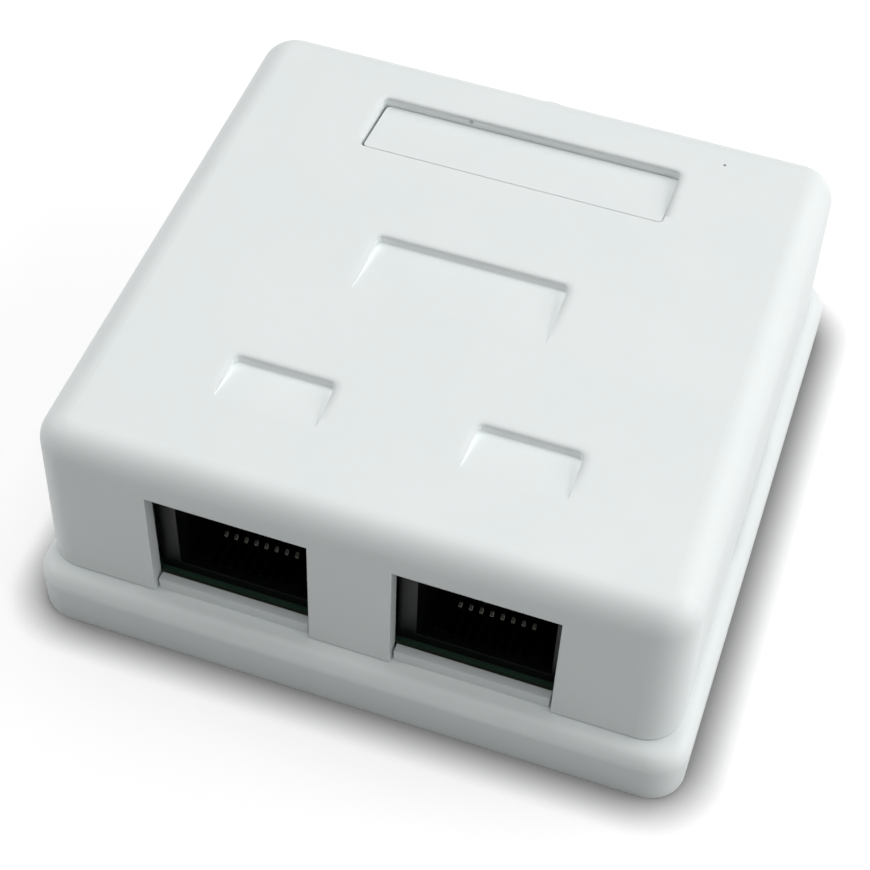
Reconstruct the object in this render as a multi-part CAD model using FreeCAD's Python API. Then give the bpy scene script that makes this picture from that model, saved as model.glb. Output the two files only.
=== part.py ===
import FreeCAD, Part
import math
import os

# Two-port surface socket for data cable. Millimetres, +Z out of the wall, the ports face -Y.
# The origin is the middle of the back face of the base, which lies on the wall.
# The sizes run from the inside out: the case is as large as its sockets, board and wiring space need.

os.makedirs("parts", exist_ok=True)

# Eight-way socket: the space that takes the plug, and the housing round it
PLUG_W = 12.2  # width of the plug space
PLUG_H = 7.0  # height of the plug space without the latch
PLUG_DEPTH = 12.0  # from the mouth to the comb at its end
LATCH_W = 6.4  # width of the latch space above the plug space
LATCH_H = 1.8  # its height
LATCH_NECK_W = 3.8  # narrower slot above that lets the latch's tongue pass
LATCH_NECK_H = 1.8
LATCH_LIP = 1.4  # thickness of the two ledges that the latch catches behind
LATCH_DEPTH = 9.0  # how far the latch space reaches in from the mouth
MOUTH_STEP = 1.5  # beside the latch space, the face stands this far back above the plug space
MOUTH_LEAD = 0.3  # the mouth's sides flare out by this much, over the same depth
JACK_SIDE = 2.2  # thickness of a side wall of the housing
JACK_FLOOR = 1.2  # from the board to the floor of the plug space
JACK_ROOF = 1.6
JACK_DEPTH = 15.9
JACK_SILL = 1.0  # front sill of the housing, in front of the contact carrier
JACK_EDGE_R = 0.1
JACK_GAP = 6.5  # between the two housings
JACK_POST_R = 1.6  # plastic posts that locate the housing in the board
JACK_POST_SPREAD = 5.7  # each side of the port's centre
JACK_POST_BACK = 6.2  # behind the mouth
JACK_POST_L = 2.0

# Contact carrier, a comb that slides into the housing from behind
INSERT_W = 10.4
INSERT_GAP = 0.1  # clearance between carrier and housing
INSERT_WALL = 2.0  # thickness of its upright comb
COMB_DEPTH = 1.0
COMB_LOW = 0.8  # comb slots start this high above the plug space's floor
COMB_HIGH = 1.6  # and end this far below its roof

# Contact springs
CONTACT_COUNT = 8
CONTACT_PITCH = 1.016
CONTACT_W = 0.45
CONTACT_T = 0.38
CONTACT_BEND_R = 0.4  # at the tail and where the hidden run turns up
CONTACT_NOSE_R = 0.6  # at the front bend
CONTACT_SLOT_GAP = 0.07  # clearance on each side of a spring in its groove
CONTACT_RUN_DROP = 0.7  # the hidden run lies this far below the plug space's floor
CONTACT_RISE = 1.15  # from the hidden run up to the start of the slope
CONTACT_NOSE = 3.0  # from the housing's sill back to the front bend
CONTACT_SLOPE_DEG = 18.0
CONTACT_TAIL_BACK = 0.2  # first row of tails behind the end of the plug space
CONTACT_ROW = 2.54  # between the two rows of tails
TAIL_BELOW = 1.2  # how far all tails stand out below the board
TAIL_HOLE_GAP = 0.15  # radial clearance of a tail's corners in the board's hole

# Circuit board
BOARD_T = 1.6
BOARD_MARGIN = 1.15  # board outside the housings at each side
BOARD_FRONT_GAP = 0.2  # from the cover's front wall to the board
BOARD_TAIL = 7.0  # board behind the wiring blocks
BOARD_CORNER_R = 1.0
JACK_SETBACK = 0.55  # from the board's front edge to the housings
POST_HOLE_GAP = 0.08

# Wiring blocks and their forked blades
JACK_TO_BLOCK = 1.8
BLOCK_END = 1.0  # block past the outermost blades' share of the pitch
BLOCK_D = 12.0
BLOCK_H = 10.0
BLOCK_ROW = 6.6  # between the two rows of blades
BLADE_PITCH = 3.8
BLADE_W = 2.8
BLADE_T = 0.4
BLADE_TOP = 1.1  # from the top of the block down to the blades
BLADE_SLOT_W = 0.34
BLADE_SLOT_DEPTH = 5.0
BLADE_MOUTH_W = 1.1
BLADE_MOUTH_H = 0.8
BLADE_FOOT = 0.4  # from the board up to the wide part of a blade
BLADE_TAIL_W = 0.7
BLADE_GAP = 0.08  # clearance of a blade in its pocket
WIRE_SLOT_W = 1.1
WIRE_SLOT_DEPTH = 6.0
RIDGE_W = 2.8  # low ridge between the rows, which carries the wiring label
RIDGE_DROP = 2.9
LABEL_T = 0.15
LABEL_MARGIN = 0.2

# Screws
BOARD_SCREW_R = 1.2
BOARD_SCREW_HEAD_R = 2.3
BOARD_SCREW_HEAD_H = 1.5
BOARD_SCREW_L = 4.7
BOARD_SCREW_BACK = 7.0  # front screw, behind the mouths of the sockets
BOARD_SCREW_INSET = 3.5  # rear screw, in from the board's rear edge
COVER_SCREW_R = 1.45
COVER_SCREW_HEAD_R = 2.75
COVER_SCREW_HEAD_H = 1.8
COVER_SCREW_GRIP = 6.9  # length of the cover screw inside the base's post
SCREW_FIT = 0.05  # radial clearance of a screw in the post that it turns into
SCREW_PASS = 0.25  # radial clearance of a screw in the piece that it clamps
SCREW_TIP_GAP = 0.6
HEAD_GAP = 0.2  # clearance round a screw's head
DRIVE_W = 0.7
DRIVE_L = 3.0
DRIVE_DEPTH = 0.9
HEAD_ROUND = 0.45  # edge radius of a head, as a part of its height

# Base
FLOOR = 2.0
STANDOFF = 3.3  # from the floor to the board
SEAM_Z = 5.7  # where the cover stands on the base
BASE_CORNER_R = 3.4
SHOULDER_R = 1.6
SIDE_BAY = 6.4  # room between the board and the rim at each side
REAR_BAY = 17.8  # room behind the board for the cables
LIP_T = 1.0
LIP_H = 1.5
LIP_GAP = 0.15  # between the lip and the cover's front and rear walls
LIP_SIDE_GAP = 0.65  # between the lip and the cover's side walls
LIP_FRONT_GAP = 1.5  # the lip stops this far behind the board's front edge
RIM_SKIN = 1.3  # skin left round the groove that lightens the rim from below
SILL_H = 1.4
SILL_T = 0.9
SILL_SETBACK = 0.5
SILL_GAP = 0.25  # between a sill and the sides of its notch
BOARD_POST_R = 2.8
SUPPORT_R = 1.6
SUPPORT_INSET = 2.5
COVER_POST_R = 3.4
WINDOW_POST_GAP = 3.1  # floor left between the cover post and each cable window
WINDOW_FRONT_GAP = 5.0
WINDOW_EDGE = 1.8
WINDOW_CORNER_R = 1.0
WALL_SLOT_R = 1.9
WALL_SLOT_L = 5.4
WALL_SLOT_INSET = 4.4
TIE_W = 2.4
TIE_H = 3.2
TIE_LEG = 0.8
TIE_TUNNEL_H = 1.8
TIE_END_GAP = 0.2

# Cover
COVER_WALL = 1.6  # at the cover's foot
SIDE_DRAFT = 0.4  # how far each side leans in, from the foot to the top
END_DRAFT = 0.2  # the same for its front and rear
COVER_PLAY = 0.5  # the cover sits this far to the left on the base, within the play of its lip
ROOF = 2.0
HEADROOM = 1.8  # above the sockets
COVER_SIDE_STEP = 0.95  # how far the base stands out past the foot of a cover without play
COVER_FRONT_STEP = 2.2
COVER_REAR_STEP = 1.7
COVER_CORNER_R = 3.6
TOP_EDGE_R = 3.0
FOOT_EDGE_R = 0.25
PORT_LAP = 0.65  # each side of a notch is this much narrower than a housing
PORT_TOP_LAP = 0.65
PRY_L = 15.0
PRY_H = 0.9
PRY_DEPTH = 0.9
KNOCKOUT_W = 14.0
KNOCKOUT_H = 9.0
KNOCKOUT_LINE = 0.5
KNOCKOUT_DEPTH = 0.35

# Recesses in the cover's top: each ramps down from its near edge to its far edge
RECESS_DEPTH = 0.9
RECESS_CORNER_R = 0.5
SMALL_W = 9.8
SMALL_D = 5.4
SMALL_FRONT = 9.65  # near edge, behind the cover's front
CENTRE_W = 19.0
CENTRE_D = 7.6
CENTRE_FRONT = 26.15
LONG_W = 31.0
LONG_D = 7.5
LONG_REAR = 7.25  # far edge, in front of the cover's rear

# Label plate in the long recess, and the pocket that it sits in
POCKET_DEPTH = 2.6
POCKET_FLOOR = 1.4
PLATE_DROP = 1.0  # how far the plate's far edge lies below the cover's top
PLATE_SLIT = 0.3  # at its left end, open to the inside
PLATE_GAP = 0.05  # on its other three sides
PLATE_LEG_W = 2.0
PLATE_LEG_T = 1.2
PLATE_LEG_L = 2.4
PLATE_LEG_INSET = 4.0
BOSS_R = 4.3
BOSS_L = 5.4  # from the head's seat to the boss's lower face
BOSS_TO_POST = 0.1
RIB_T = 1.2
RIB_H = 4.0

CUT = 1.0  # slack past a face that a cut goes through
TINY_R = 0.3  # smallest corner radius
LARGEST_R = 0.49  # largest corner radius, as a part of the shorter side
TINY = 1e-4  # reach of a height test

# Widths, worked out from the middle to the outside
JACK_W = PLUG_W + 2 * JACK_SIDE
PORT_X = (JACK_W + JACK_GAP) / 2
BOARD_X = PORT_X + JACK_W / 2 + BOARD_MARGIN
TRAY_X = BOARD_X + SIDE_BAY
COVER_IN_X = TRAY_X + LIP_T + LIP_SIDE_GAP
COVER_X = COVER_IN_X + COVER_WALL
BASE_X = COVER_X + COVER_SIDE_STEP
BLOCK_W = CONTACT_COUNT // 2 * BLADE_PITCH + 2 * BLOCK_END

# Depths, worked out from the cover's front face to the rear
TO_BOARD = COVER_WALL + BOARD_FRONT_GAP
TO_JACK = TO_BOARD + JACK_SETBACK
TO_BLOCK = TO_JACK + JACK_DEPTH + JACK_TO_BLOCK
TO_BOARD_REAR = TO_BLOCK + BLOCK_D + BOARD_TAIL
TO_TRAY_REAR = TO_BOARD_REAR + REAR_BAY
COVER_D = TO_TRAY_REAR + LIP_T + LIP_GAP + COVER_WALL
BASE_D = COVER_D + COVER_FRONT_STEP + COVER_REAR_STEP
BASE_Y = BASE_D / 2
COVER_FRONT = COVER_FRONT_STEP - BASE_Y
COVER_REAR = COVER_FRONT + COVER_D
BOARD_FRONT = COVER_FRONT + TO_BOARD
BOARD_REAR = COVER_FRONT + TO_BOARD_REAR
JACK_Y = COVER_FRONT + TO_JACK
BLOCK_Y = COVER_FRONT + TO_BLOCK + BLOCK_D / 2
TRAY_FRONT = COVER_FRONT + COVER_WALL - LIP_GAP / 2
TRAY_REAR = COVER_FRONT + TO_TRAY_REAR

# Heights, worked out from the wall outwards
BOARD_Z = FLOOR + STANDOFF
BOARD_TOP = BOARD_Z + BOARD_T
PLUG_Z = BOARD_TOP + JACK_FLOOR
PLUG_TOP = PLUG_Z + PLUG_H
JACK_TOP = PLUG_TOP + LATCH_H + LATCH_NECK_H + JACK_ROOF
ROOF_Z = JACK_TOP + HEADROOM
TOP_Z = ROOF_Z + ROOF
TAIL_Z = BOARD_Z - TAIL_BELOW
BLOCK_TOP = BOARD_TOP + BLOCK_H
RIDGE_TOP = BLOCK_TOP - RIDGE_DROP
POCKET_Z = TOP_Z - POCKET_DEPTH
HEAD_SEAT_Z = POCKET_Z - COVER_SCREW_HEAD_H - HEAD_GAP
BOSS_Z = HEAD_SEAT_Z - BOSS_L
POST_TOP = BOSS_Z - BOSS_TO_POST
SCREW_TIP = POST_TOP - COVER_SCREW_GRIP
PAN_Z = POCKET_Z - POCKET_FLOOR
PORT_TOP = JACK_TOP - PORT_TOP_LAP
PORT_W = JACK_W - 2 * PORT_LAP

# The long recess, and the screw in the middle of it
LONG_Y1 = COVER_REAR - LONG_REAR
LONG_Y0 = LONG_Y1 - LONG_D
SCREW_Y = (LONG_Y0 + LONG_Y1) / 2
LEG_X = LONG_W / 2 - PLATE_LEG_INSET

# Wall slots and cable windows in the floor behind the board
WALL_SLOT_X = TRAY_X - WALL_SLOT_INSET
WINDOW_X0 = COVER_POST_R + WINDOW_POST_GAP
WINDOW_X1 = WALL_SLOT_X - WALL_SLOT_L / 2 - WINDOW_EDGE
WINDOW_Y0 = BOARD_REAR + WINDOW_FRONT_GAP
WINDOW_Y1 = TRAY_REAR - WINDOW_EDGE
REAR_SLOT_Y = (WINDOW_Y0 + WINDOW_Y1) / 2
FRONT_SLOT_Y = JACK_Y + PLUG_DEPTH

BOARD_SCREW_Y = (JACK_Y + BOARD_SCREW_BACK, BOARD_REAR - BOARD_SCREW_INSET)
SIDES = (("left", -1), ("right", 1))


def vec(x, y, z):
    return FreeCAD.Vector(x, y, z)


def about(middle, half):
    """The span that reaches the same distance to both sides of a middle."""
    return middle - half, middle + half


def block(x, y, z, corner_r=0.0):
    """Box over three (low, high) spans; its upright edges are rounded when a radius is given."""
    size = [high - low for low, high in (x, y, z)]
    box = Part.makeBox(*size, vec(x[0], y[0], z[0]))
    if corner_r <= 0:
        return box
    upright = [edge for edge in box.Edges if edge.BoundBox.ZLength > size[2] / 2]
    return box.makeFillet(min(corner_r, LARGEST_R * min(size[:2])), upright)


def leaning_block(x, y, z, side, end):
    """Box whose four walls lean in towards its top, by one distance at the sides and one at the ends."""
    foot = (x[0], z[0], -y[1], end - y[1], x[0] + side)
    top = (x[1], z[1], -y[0], -y[0] - end, x[1] - side)
    box = Part.makeWedge(*foot, *top)
    box.rotate(vec(0, 0, 0), vec(1, 0, 0), 90)
    return box


def rod(radius, x, y, z):
    """Upright cylinder over a (low, high) span of heights."""
    return Part.makeCylinder(radius, z[1] - z[0], vec(x, y, z[0]))


def prism_x(points, x):
    """Prism over a span of X with the given (y, z) outline."""
    loop = [vec(x[0], *point) for point in points]
    face = Part.Face(Part.makePolygon(loop + loop[:1]))
    return face.extrude(vec(x[1] - x[0], 0, 0))


def slot_cutter(x, y, radius, length, z):
    """Upright slot with round ends, along X."""
    reach = length / 2 - radius
    ends = [rod(radius, x + sign * reach, y, z) for _, sign in SIDES]
    return block(about(x, reach), about(y, radius), z).fuse(ends)


def edges_at(shape, z):
    """The edges that lie flat at one height."""
    flat = []
    for edge in shape.Edges:
        box = edge.BoundBox
        if abs(box.ZMin - z) < TINY and abs(box.ZMax - z) < TINY:
            flat.append(edge)
    return flat


def contact_x(centre, number):
    """Centre of a spring of the socket with the given centre."""
    return centre + (number - (CONTACT_COUNT - 1) / 2) * CONTACT_PITCH


def tail_y(number):
    """The tails stand in two rows, every second spring in the rear one."""
    return JACK_Y + PLUG_DEPTH + CONTACT_TAIL_BACK + (number % 2) * CONTACT_ROW


def blade_places(centre):
    """Centres of the blades of a wiring block, in two rows."""
    in_row = CONTACT_COUNT // 2
    places = []
    for row in (-1, 1):
        for number in range(in_row):
            x = centre + (number - (in_row - 1) / 2) * BLADE_PITCH
            places.append((x, BLOCK_Y + row * BLOCK_ROW / 2))
    return places


def strip_side(points, ways, bends, offset, x):
    """Edges of one long side of a bent strip, at a signed distance to the left of its path."""
    edges = []
    here = (points[0][0] - ways[0][1] * offset, points[0][1] + ways[0][0] * offset)
    for point, bend_r, (ay, az), (by, bz) in zip(points[1:], bends, ways, ways[1:]):
        turn = math.atan2(ay * bz - az * by, ay * by + az * bz)
        left = math.copysign(1, turn)
        reach = bend_r * math.tan(abs(turn) / 2)
        start = (point[0] - ay * reach, point[1] - az * reach)
        centre = (start[0] - az * bend_r * left, start[1] + ay * bend_r * left)
        radius = bend_r - offset * left
        first = math.atan2(start[1] - centre[1], start[0] - centre[0])
        bend = []
        for angle in (first, first + turn / 2, first + turn):
            out = (radius * math.cos(angle), radius * math.sin(angle))
            bend.append((centre[0] + out[0], centre[1] + out[1]))
        edges.append(Part.makeLine(vec(x, *here), vec(x, *bend[0])))
        edges.append(Part.Arc(*[vec(x, *place) for place in bend]).toShape())
        here = bend[2]
    end = (points[-1][0] - ways[-1][1] * offset, points[-1][1] + ways[-1][0] * offset)
    edges.append(Part.makeLine(vec(x, *here), vec(x, *end)))
    return edges


def strip(points, bends, thickness, x):
    """Flat strip over a span of X, bent along (y, z) points with a radius for each inner point."""
    ways = []
    for (y0, z0), (y1, z1) in zip(points, points[1:]):
        run = math.hypot(y1 - y0, z1 - z0)
        ways.append(((y1 - y0) / run, (z1 - z0) / run))
    one = strip_side(points, ways, bends, thickness / 2, x[0])
    other = strip_side(points, ways, bends, -thickness / 2, x[0])
    first = Part.makeLine(one[0].Vertexes[0].Point, other[0].Vertexes[0].Point)
    last = Part.makeLine(one[-1].Vertexes[-1].Point, other[-1].Vertexes[-1].Point)
    outline = Part.Wire(Part.__sortEdges__(one + [last] + other + [first]))
    return Part.Face(outline).extrude(vec(x[1] - x[0], 0, 0))


def recess_cutter(x, y, depth):
    """Wedge that starts at nothing at its near edge and is full depth at its far edge."""
    near, far = y
    above = TOP_Z + CUT
    low = TOP_Z - depth
    outline = [(near, TOP_Z), (far, low), (far + CUT, low), (far + CUT, above), (near, above)]
    plan = block(x, (near - RECESS_CORNER_R, far), (TOP_Z - 2 * depth, above), RECESS_CORNER_R)
    return prism_x(outline, x).common(plan)


def screw(x, y, head_r, head_h, seat_z, shank_r, tip_z):
    """Pan-head screw, point down, with a cross drive."""
    top = seat_z + head_h
    head = rod(head_r, x, y, (seat_z, top))
    head = head.makeFillet(head_h * HEAD_ROUND, edges_at(head, top))
    shank = rod(shank_r, x, y, (tip_z, seat_z))
    shank = shank.makeChamfer(shank_r / 2, edges_at(shank, tip_z))
    drive_z = (top - DRIVE_DEPTH, top + CUT)
    drive = [
        block(about(x, DRIVE_L / 2), about(y, DRIVE_W / 2), drive_z),
        block(about(x, DRIVE_W / 2), about(y, DRIVE_L / 2), drive_z),
    ]
    return head.fuse(shank).cut(drive).removeSplitter()


def base_rim():
    """Rim of the tray with its rounded shoulder, the lip for the cover, and a groove from below."""
    rim = block((-BASE_X, BASE_X), (-BASE_Y, BASE_Y), (0, SEAM_Z), BASE_CORNER_R)
    rim = rim.makeFillet(SHOULDER_R, edges_at(rim, SEAM_Z))
    lip_r = max(COVER_CORNER_R - COVER_WALL - LIP_GAP, TINY_R)
    lip_y = (COVER_FRONT + COVER_WALL + LIP_GAP, TRAY_REAR + LIP_T)
    lip = block(about(0, TRAY_X + LIP_T), lip_y, (FLOOR, SEAM_Z + LIP_H), lip_r)
    board_side = block(about(0, BASE_X), (-BASE_Y, BOARD_FRONT + LIP_FRONT_GAP), (SEAM_Z, TOP_Z))
    hollow = block(about(0, TRAY_X), (TRAY_FRONT, TRAY_REAR), (FLOOR, TOP_Z), lip_r)
    groove_z = (-CUT, SEAM_Z - SHOULDER_R)
    groove_r = max(BASE_CORNER_R - RIM_SKIN, TINY_R)
    groove_out = block(about(0, BASE_X - RIM_SKIN), about(0, BASE_Y - RIM_SKIN), groove_z, groove_r)
    groove_y = (TRAY_FRONT - RIM_SKIN, TRAY_REAR + RIM_SKIN)
    groove_in = block(about(0, TRAY_X + RIM_SKIN), groove_y, (-2 * CUT, SEAM_Z))
    return rim.fuse(lip.cut(board_side)).cut([hollow, groove_out.cut(groove_in)])


def make_base():
    """Tray with sills under the ports, posts, tie arches, cable windows and wall slots."""
    sill_y = COVER_FRONT + SILL_SETBACK
    tie_y = (BOARD_REAR + TIE_END_GAP, WINDOW_Y0 - TIE_END_GAP)
    added = [rod(COVER_POST_R, 0, SCREW_Y, (FLOOR / 2, POST_TOP))]
    cuts = [rod(COVER_SCREW_R + SCREW_FIT, 0, SCREW_Y, (SCREW_TIP - SCREW_TIP_GAP, TOP_Z))]
    for y in BOARD_SCREW_Y:
        added.append(rod(BOARD_POST_R, 0, y, (FLOOR / 2, BOARD_Z)))
        bore_z = (BOARD_TOP - BOARD_SCREW_L - SCREW_TIP_GAP, TOP_Z)
        cuts.append(rod(BOARD_SCREW_R + SCREW_FIT, 0, y, bore_z))
    for _, sign in SIDES:
        sill_x = about(sign * PORT_X - COVER_PLAY, PORT_W / 2 - SILL_GAP)
        added.append(block(sill_x, (sill_y, sill_y + SILL_T), (SEAM_Z - RIM_SKIN, SEAM_Z + SILL_H)))
        for y in (BOARD_FRONT + SUPPORT_INSET, BOARD_REAR - SUPPORT_INSET):
            added.append(rod(SUPPORT_R, sign * (BOARD_X - SUPPORT_INSET), y, (FLOOR / 2, BOARD_Z)))
        tie_x = sign * (WINDOW_X0 + WINDOW_X1) / 2
        tie = block(about(tie_x, TIE_W / 2), tie_y, (FLOOR / 2, FLOOR + TIE_H))
        tunnel_y = (tie_y[0] + TIE_LEG, tie_y[1] - TIE_LEG)
        added.append(tie.cut(block(about(tie_x, TIE_W), tunnel_y, (FLOOR, FLOOR + TIE_TUNNEL_H))))
        window_x = sorted((sign * WINDOW_X0, sign * WINDOW_X1))
        through = (-CUT, FLOOR + CUT)
        cuts.append(block(window_x, (WINDOW_Y0, WINDOW_Y1), through, WINDOW_CORNER_R))
        for y in (FRONT_SLOT_Y, REAR_SLOT_Y):
            cuts.append(slot_cutter(sign * WALL_SLOT_X, y, WALL_SLOT_R, WALL_SLOT_L, through))
    return base_rim().fuse(added).cut(cuts).removeSplitter()


def cover_shell():
    """Cover before its openings: shell, pan under the label plate, screw boss and rib."""
    cover_y = (COVER_FRONT, COVER_REAR)
    shell = leaning_block(about(0, COVER_X), cover_y, (SEAM_Z, TOP_Z), SIDE_DRAFT, END_DRAFT)
    upright = [edge for edge in shell.Edges if edge.BoundBox.ZLength > ROOF]
    shell = shell.makeFillet(COVER_CORNER_R, upright)
    shell = shell.makeFillet(TOP_EDGE_R, edges_at(shell, TOP_Z))
    shell = shell.makeFillet(FOOT_EDGE_R, edges_at(shell, SEAM_Z))
    inner_y = (COVER_FRONT + COVER_WALL, COVER_REAR - COVER_WALL)
    inner_r = max(COVER_CORNER_R - COVER_WALL, TINY_R)
    shell = shell.cut(block(about(0, COVER_IN_X), inner_y, (SEAM_Z - CUT, ROOF_Z), inner_r))
    in_roof = ROOF_Z + ROOF / 2
    pan_y = (LONG_Y0 - POCKET_FLOOR, LONG_Y1 + POCKET_FLOOR)
    pan = block(about(0, LONG_W / 2 + POCKET_FLOOR), pan_y, (PAN_Z, in_roof))
    boss = rod(BOSS_R, COVER_PLAY, SCREW_Y, (BOSS_Z, POCKET_Z))
    rib_y = (SCREW_Y + BOSS_R / 2, inner_y[1] + COVER_WALL / 2)
    rib = block(about(COVER_PLAY, RIB_T / 2), rib_y, (PAN_Z - RIB_H, in_roof))
    return shell.fuse([pan, boss, rib])


def knockout_line():
    """Shallow line round the panel in the rear wall that is broken out for a cable along the wall."""
    line_y = (COVER_REAR - KNOCKOUT_DEPTH, COVER_REAR + CUT)
    outer = block(about(0, KNOCKOUT_W / 2), line_y, (SEAM_Z - CUT, SEAM_Z + KNOCKOUT_H))
    panel_x = about(0, KNOCKOUT_W / 2 - KNOCKOUT_LINE)
    return outer.cut(block(panel_x, about(COVER_REAR, 2 * CUT), about(SEAM_Z, KNOCKOUT_H - KNOCKOUT_LINE)))


def make_cover():
    """Cover with its port notches, ramped recesses, label pocket, screw hole and prising gaps."""
    centre_y = COVER_FRONT + CENTRE_FRONT
    small_y = COVER_FRONT + SMALL_FRONT
    notch_y = (COVER_FRONT - CUT, COVER_FRONT + COVER_WALL + LIP_GAP)
    pry_y = about((COVER_FRONT + COVER_REAR) / 2, PRY_L / 2)
    slit_y = (LONG_Y0 + RECESS_CORNER_R, LONG_Y1 - RECESS_CORNER_R)
    cuts = [
        block(about(0, LONG_W / 2), (LONG_Y0, LONG_Y1), (POCKET_Z, TOP_Z + CUT), RECESS_CORNER_R),
        rod(COVER_SCREW_HEAD_R + HEAD_GAP, COVER_PLAY, SCREW_Y, (HEAD_SEAT_Z, TOP_Z)),
        rod(COVER_SCREW_R + SCREW_PASS, COVER_PLAY, SCREW_Y, (BOSS_Z - CUT, TOP_Z)),
        recess_cutter(about(0, CENTRE_W / 2), (centre_y, centre_y + CENTRE_D), RECESS_DEPTH),
        block((-LONG_W / 2, PLATE_SLIT - LONG_W / 2), slit_y, (PAN_Z - CUT, TOP_Z)),
        knockout_line(),
    ]
    for _, sign in SIDES:
        leg_x = about(sign * LEG_X, PLATE_LEG_W / 2 + PLATE_GAP)
        cuts.append(block(leg_x, about(SCREW_Y, PLATE_LEG_T / 2 + PLATE_GAP), (PAN_Z - CUT, TOP_Z)))
        small_x = about(sign * PORT_X, SMALL_W / 2)
        cuts.append(recess_cutter(small_x, (small_y, small_y + SMALL_D), RECESS_DEPTH))
        cuts.append(block(about(sign * PORT_X, PORT_W / 2), notch_y, (SEAM_Z - CUT, PORT_TOP)))
        pry_x = sorted((sign * (COVER_X - PRY_DEPTH), sign * (COVER_X + CUT)))
        cuts.append(block(pry_x, pry_y, (SEAM_Z - CUT, SEAM_Z + PRY_H)))
    cover = cover_shell().cut(cuts).removeSplitter()
    cover.translate(vec(-COVER_PLAY, 0, 0))
    return cover


def make_label_plate():
    """Plate whose top ramps from the cover's top down to its far edge, on two legs."""
    x = (PLATE_SLIT - LONG_W / 2, LONG_W / 2 - PLATE_GAP)
    y = (LONG_Y0 + PLATE_GAP, LONG_Y1 - PLATE_GAP)
    ramp = prism_x([(y[0], POCKET_Z), (y[1], POCKET_Z), (y[1], TOP_Z - PLATE_DROP), (y[0], TOP_Z)], x)
    plate = ramp.common(block(x, y, (POCKET_Z - CUT, TOP_Z + CUT), RECESS_CORNER_R - PLATE_GAP))
    leg_y = about(SCREW_Y, PLATE_LEG_T / 2)
    leg_z = (POCKET_Z - PLATE_LEG_L, POCKET_Z + PLATE_GAP)
    legs = [block(about(sign * LEG_X, PLATE_LEG_W / 2), leg_y, leg_z) for _, sign in SIDES]
    plate = plate.fuse(legs).removeSplitter()
    plate.translate(vec(-COVER_PLAY, 0, 0))
    return plate


def make_board():
    """Circuit board with holes for the tails, the housings' posts and the screws."""
    board = block(about(0, BOARD_X), (BOARD_FRONT, BOARD_REAR), (BOARD_Z, BOARD_TOP), BOARD_CORNER_R)
    through = (BOARD_Z - CUT, BOARD_TOP + CUT)
    contact_hole = math.hypot(CONTACT_W, CONTACT_T) / 2 + TAIL_HOLE_GAP
    blade_hole = math.hypot(BLADE_TAIL_W, BLADE_T) / 2 + TAIL_HOLE_GAP
    holes = [rod(BOARD_SCREW_R + SCREW_PASS, 0, y, through) for y in BOARD_SCREW_Y]
    for _, sign in SIDES:
        centre = sign * PORT_X
        for number in range(CONTACT_COUNT):
            holes.append(rod(contact_hole, contact_x(centre, number), tail_y(number), through))
        for x, y in blade_places(centre):
            holes.append(rod(blade_hole, x, y, through))
        for post in (-1, 1):
            x = centre + post * JACK_POST_SPREAD
            holes.append(rod(JACK_POST_R + POST_HOLE_GAP, x, JACK_Y + JACK_POST_BACK, through))
    return board.cut(holes)


def mouth_flare(centre, z):
    """Cutter for the lead-in of a socket's mouth, whose sides narrow to the plug space over a span of Z."""
    outer = about(centre, PLUG_W / 2 + MOUTH_LEAD)
    inner = about(centre, PLUG_W / 2)
    front = (outer[0], JACK_Y, z[0], z[0], inner[0])
    back = (outer[1], JACK_Y + MOUTH_STEP, z[1], z[1], inner[1])
    return Part.makeWedge(*front, *back)


def make_housing(centre):
    """Socket housing: flared mouth, plug space, latch space with ledges, carrier bay, two posts."""
    x = about(centre, JACK_W / 2)
    body = block(x, (JACK_Y, JACK_Y + JACK_DEPTH), (BOARD_TOP, JACK_TOP), JACK_EDGE_R)
    latch_z = (PLUG_TOP, PLUG_TOP + LATCH_H)
    neck_z = (PLUG_TOP + LATCH_H, PLUG_TOP + LATCH_H + LATCH_NECK_H)
    mouth = JACK_Y - CUT
    latch_end = JACK_Y + LATCH_DEPTH
    end = JACK_Y + PLUG_DEPTH
    behind = JACK_Y + JACK_DEPTH + CUT
    bay_x = about(centre, INSERT_W / 2 + INSERT_GAP)
    latch_x = about(centre, LATCH_W / 2)
    cuts = [
        block(about(centre, PLUG_W / 2), (mouth, end), (PLUG_Z, PLUG_TOP)),
        block(about(centre, PLUG_W / 2), (mouth, JACK_Y + MOUTH_STEP), latch_z),
        mouth_flare(centre, (PLUG_Z, PLUG_TOP + LATCH_H)),
        block(latch_x, (mouth, latch_end), latch_z),
        block(about(centre, LATCH_NECK_W / 2), (mouth, latch_end), neck_z),
        block(latch_x, (JACK_Y + LATCH_LIP, latch_end), neck_z),
        block(bay_x, (JACK_Y + JACK_SILL, behind), (BOARD_TOP - CUT, PLUG_Z)),
        block(bay_x, (end - INSERT_GAP, behind), (PLUG_Z - CUT, PLUG_TOP)),
    ]
    posts = []
    for sign in (-1, 1):
        post_x = centre + sign * JACK_POST_SPREAD
        posts.append(rod(JACK_POST_R, post_x, JACK_Y + JACK_POST_BACK, (BOARD_TOP - JACK_POST_L, BOARD_TOP)))
    return body.cut(cuts).fuse(posts).removeSplitter()


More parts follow.
